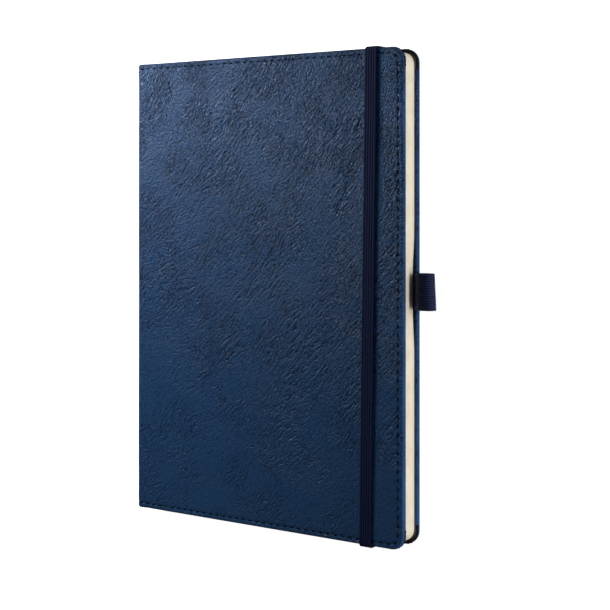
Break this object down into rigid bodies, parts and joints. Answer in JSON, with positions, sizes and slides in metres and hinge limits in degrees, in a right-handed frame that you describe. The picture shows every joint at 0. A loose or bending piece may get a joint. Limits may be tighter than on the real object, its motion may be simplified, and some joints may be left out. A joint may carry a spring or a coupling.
{
  "type": "pilot logbook",
  "caption": "A5 hard-cover logbook with stitched navy leather-look covers, rounded corners, cream pages, an elastic closure band and an elastic pen loop.",
  "frame": {"origin": "middle of the back cover's outer face, between the spine and the fore-edge and between the tail and the head", "axes": "+X from the spine to the fore-edge, +Y from the tail to the head, +Z from the back cover to the front cover; the closed book lies on its back cover"},
  "size_m": [0.1574, 0.2148, 0.0161],
  "materials": {
    "cover_leather": "satin",
    "gathered_leather": "gloss",
    "seam_thread": "matte",
    "elastic": "matte",
    "greyboard": "matte",
    "endpaper": "matte",
    "page_paper": "matte",
    "lining_gauze": "matte",
    "sewing_thread": "matte",
    "end_band": "matte"
  },
  "bodies": {
    "back_cover": {"back_board": "greyboard", "back_cover_skin": "cover_leather", "back_corner_gathers": "gathered_leather", "back_seam_thread": "seam_thread", "back_pastedown": "endpaper", "back_joint_strip": "cover_leather", "closure_band_tabs": "elastic", "pen_loop_tab": "elastic"},
    "book_block": {"spine_board": "greyboard", "spine_skin": "cover_leather", "spine_seam_thread": "seam_thread", "spine_lining": "lining_gauze", "sewing_thread": "sewing_thread", "head_band": "end_band", "tail_band": "end_band", "section_02": "page_paper", "section_03": "page_paper", "section_04": "page_paper", "section_05": "page_paper", "section_06": "page_paper", "section_07": "page_paper", "section_08": "page_paper", "back_flyleaf": "endpaper"},
    "front_cover": {"front_board": "greyboard", "front_cover_skin": "cover_leather", "front_corner_gathers": "gathered_leather", "front_seam_thread": "seam_thread", "front_pastedown": "endpaper", "front_joint_strip": "cover_leather"},
    "front_leaves": {"front_flyleaf": "endpaper", "section_01": "page_paper"},
    "closure_band": {"closure_band": "elastic"},
    "pen_loop": {"pen_loop": "elastic"}
  },
  "joints": [
    {"name": "book_block_hinge", "type": "hinge", "parent": "back_cover", "child": "book_block", "pos_m": [-0.0715, 0, 0.0025], "axis": [0, 1, 0], "range_deg": [-90, 0], "deforming": ["closure_band", "back_joint_strip"]},
    {"name": "front_cover_hinge", "type": "hinge", "parent": "book_block", "child": "front_cover", "pos_m": [-0.0715, 0, 0.01272], "axis": [0, -1, 0], "range_deg": [0, 180], "deforming": ["front_joint_strip"]},
    {"name": "front_leaves_turn", "type": "hinge", "parent": "book_block", "child": "front_leaves", "pos_m": [-0.07111, 0, 0.01197], "axis": [0, -1, 0], "range_deg": [0, 125]},
    {"name": "closure_band_pull", "type": "slide", "parent": "back_cover", "child": "closure_band", "axis": [1, 0, 0], "range_m": [0, 0.026], "stiffness_N_per_m": 60},
    {"name": "pen_loop_flex", "type": "hinge", "parent": "back_cover", "child": "pen_loop", "pos_m": [0.074, 0.0024, 0.00375], "axis": [0, -1, 0], "range_deg": [-8, 25], "stiffness_Nm_per_rad": 0.002}
  ],
  "couplings": [
    {"joint": "front_leaves_turn", "follows": "front_cover_hinge", "ratio": 0.6944}
  ]
}
